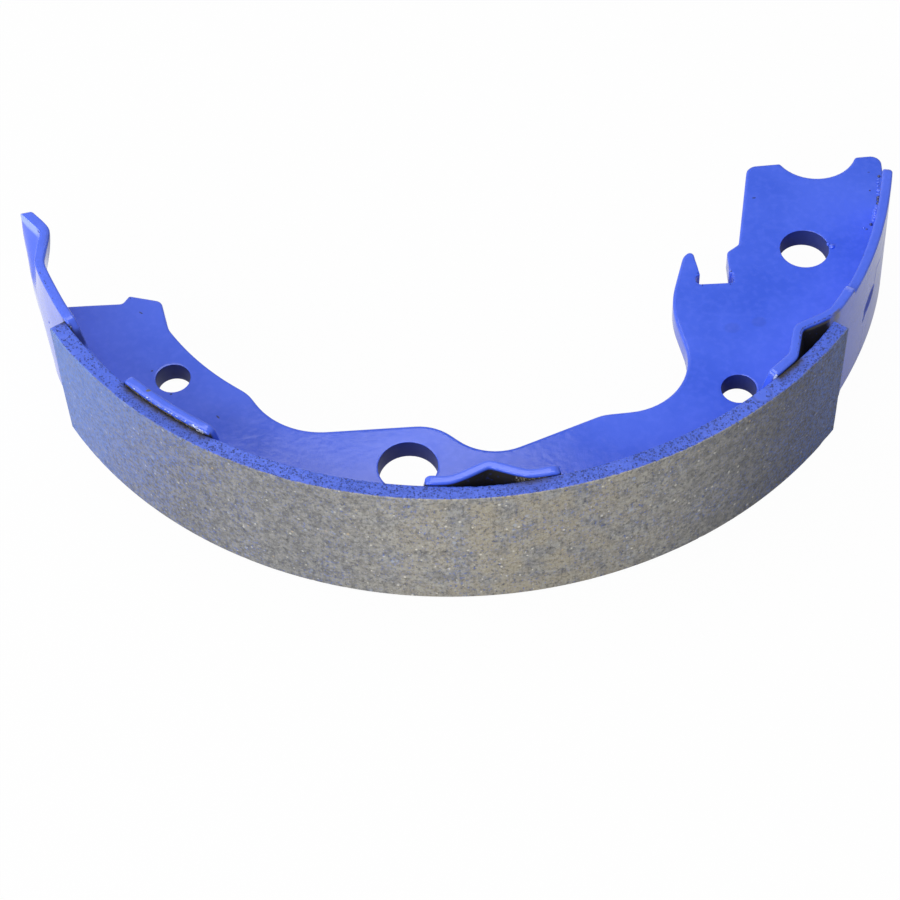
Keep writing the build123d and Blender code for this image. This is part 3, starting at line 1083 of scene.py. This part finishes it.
def make_seam():
    """Bead along the web's seat, on both of its faces, as a rough tube round an arc."""
    values = {
        "Seat radius": (WEB_SEAT_RADIUS - 0.05) * MM, "Start": WEB_SEAT_START,
        "Sweep": WEB_SEAT_END - WEB_SEAT_START, "Upper face": WEB_UPPER * MM,
        "Lower face": WEB_LOWER * MM, "Bead radius": 0.42 * MM, "Roughness": 0.5 * MM, "Seed": 4.0,
    }
    tree, given, names = grower("Weld seam", values)
    start, sweep = (maths(tree, "RADIANS", given[label]) for label in ("Start", "Sweep"))
    sockets = {"Resolution": 500, "Radius": given["Seat radius"], "Start Angle": start, "Sweep Angle": sweep}
    arc = node(tree, "GeometryNodeCurveArc", sockets, mode="RADIUS").outputs[0]
    ring = node(tree, "GeometryNodeCurvePrimitiveCircle", {"Resolution": 8, "Radius": given["Bead radius"]}).outputs[0]
    both = tree.nodes.new("GeometryNodeJoinGeometry")
    for label in ("Upper face", "Lower face"):
        lift = node(tree, "ShaderNodeCombineXYZ", {"Z": given[label]}).outputs[0]
        path = node(tree, "GeometryNodeTransform", {"Geometry": arc, "Translation": lift}).outputs[0]
        sockets = {"Curve": path, "Profile Curve": ring, "Fill Caps": True}
        tree.links.new(node(tree, "GeometryNodeCurveToMesh", sockets).outputs[0], both.inputs[0])
    ended(tree, roughened(tree, both.outputs[0], 0.0011, given))
    grown("weld_seam", bpy.data.meshes.new("weld_seam"), tree, names, values)


def weld_drops():
    """Flash in bursts along the seam, where each projection was welded, and a few stray droplets."""
    local = np.random.default_rng(21)
    drops = [(x, y, WEB_UPPER, width, scorch) for x, y, width, scorch in DROPLETS]
    for burst in np.arange(WEB_SEAT_START + 3, -24, 7.2):
        for side in (WEB_UPPER, WEB_LOWER):
            for _ in range(local.integers(4, 8)):
                angle = radians(burst + local.normal(0, 0.9))
                radius = WEB_SEAT_RADIUS - 0.1 - abs(local.normal(0, 0.55))
                x, y = radius * cos(angle), radius * sin(angle)
                drops.append((x, y, side, local.uniform(0.35, 0.95), local.uniform(0, 0.6)))
    return drops


def make_spatter():
    """Droplet on each point, as wide as the point's size and lower than it is wide."""
    values = {"Flatness": 0.7, "Roughness": 0.4 * MM, "Seed": 9.0}
    tree, given, names = grower("Weld spatter", values)
    drop = node(tree, "GeometryNodeMeshIcoSphere", {"Radius": 0.5, "Subdivisions": 3}).outputs[0]
    size = node(tree, "GeometryNodeInputNamedAttribute", {"Name": "size"}, data_type="FLOAT").outputs[0]
    tall = times(tree, size, given["Flatness"])
    scale = node(tree, "ShaderNodeCombineXYZ", {"X": size, "Y": size, "Z": tall}).outputs[0]
    sockets = {"Points": given["Geometry"], "Instance": drop, "Scale": scale}
    drops = node(tree, "GeometryNodeInstanceOnPoints", sockets).outputs[0]
    real = node(tree, "GeometryNodeRealizeInstances", {0: drops}).outputs[0]
    ended(tree, roughened(tree, real, 0.0008, given))

    places = weld_drops()
    mesh = bpy.data.meshes.new("weld_spatter")
    mesh.from_pydata([(x * MM, y * MM, z * MM) for x, y, z, _, _ in places], [], [])
    add_values(mesh, "size", [width * MM for _, _, _, width, _ in places])
    add_values(mesh, "scorched", [scorch for *_, scorch in places])
    grown("weld_spatter", mesh, tree, names, values)


make_web()
make_table()
make_lining()
make_seam()
make_spatter()


# ---------------------------------------------------------------- floor, light and camera

def emptied(owner):
    """Node tree of a material or world, with nothing in it."""
    owner.use_nodes = True
    owner.node_tree.nodes.clear()
    return owner.node_tree


def views(tree, coordinates, right, left, whiteness):
    """Whether a ray comes straight from the camera, and how white the surface is in reflections.

    That whiteness goes from one value at the right to another at the left.
    """
    seen = tree.nodes.new("ShaderNodeLightPath").outputs
    place = tree.nodes.new("ShaderNodeTexCoord").outputs[coordinates]
    across = node(tree, "ShaderNodeSeparateXYZ", {0: place}).outputs[0]
    paler = between(tree, across, right, left, *whiteness)
    straight = larger(tree, seen["Is Camera Ray"], seen["Is Transmission Ray"])
    return straight, times(tree, seen["Is Glossy Ray"], paler)


def make_floor():
    """Matt pale floor, nearly white to the camera, and paler at the left in reflections."""
    material = bpy.data.materials.new("Pale floor")
    tree = emptied(material)
    straight, mirrored = views(tree, "Object", 80 * MM, -110 * MM, MIRRORED_WHITENESS)
    share = larger(tree, times(tree, straight, FLOOR_WHITENESS), mirrored)
    matt = node(tree, "ShaderNodeBsdfDiffuse", {"Color": (0.66, 0.66, 0.67, 1)}).outputs[0]
    white = node(tree, "ShaderNodeEmission", {"Color": (1, 1, 1, 1), "Strength": 1.0}).outputs[0]
    both = node(tree, "ShaderNodeMixShader", {0: share, 1: matt, 2: white}).outputs[0]
    node(tree, "ShaderNodeOutputMaterial", {"Surface": both})
    mesh = bpy.data.meshes.new("floor")
    size = 4.0
    mesh.from_pydata([(-size, -size, 0), (size, -size, 0), (size, size, 0), (-size, size, 0)], [], [(0, 1, 2, 3)])
    mesh.materials.append(material)
    made = placed("floor", mesh)


def make_sky():
    """Light tent: dim where it lights the scene, white to the camera and in reflections."""
    world = bpy.data.worlds.new("Light tent")
    bpy.context.scene.world = world
    tree = emptied(world)
    straight, mirrored = views(tree, "Generated", 0.15, -0.15, MIRRORED_SKY)
    strength = between(tree, larger(tree, straight, mirrored), 0.0, 1.0, SKY_LEVEL, 1.0)
    sky = node(tree, "ShaderNodeBackground", {"Color": (1, 1, 1, 1), "Strength": strength}).outputs[0]
    node(tree, "ShaderNodeOutputWorld", {"Surface": sky})


def make_light(name, place, size, level, aim=(0.0, -0.06, 0.02)):
    """Soft square lamp that lights a surface facing it at the aim as strongly as a sky of that level."""
    lamp = bpy.data.lights.new(name, "AREA")
    lamp.shape = "SQUARE"
    lamp.size = size
    away = Vector(place) - Vector(aim)
    lamp.energy = level * pi * pi * away.length_squared
    made = placed(name, lamp)
    made.location = place
    made.rotation_euler = away.to_track_quat("Z", "Y").to_euler()
    made.visible_camera = False


def make_camera():
    tilt, roll = radians(CAMERA_TILT), radians(CAMERA_ROLL)
    across, up = Vector((1, 0, 0)), Vector((0, sin(tilt), cos(tilt)))
    back = Vector((0, -cos(tilt), sin(tilt)))
    right = cos(roll) * across + sin(roll) * up
    top = cos(roll) * up - sin(roll) * across
    view = bpy.data.cameras.new("camera")
    view.lens, view.sensor_width = CAMERA_LENS, CAMERA_SENSOR
    view.clip_start, view.clip_end = 0.02, 20.0
    made = placed("camera", view)
    turned = Matrix((right, top, back)).transposed().to_4x4()
    spot_seen = Vector(CAMERA_AIM) * MM
    made.matrix_world = Matrix.Translation(spot_seen + back * (CAMERA_DISTANCE * MM)) @ turned
    bpy.context.scene.camera = made


make_floor()
make_sky()
for name, lamp in LAMPS.items():
    make_light(name, *lamp)
make_camera()
bpy.context.scene.view_settings.view_transform = "Standard"
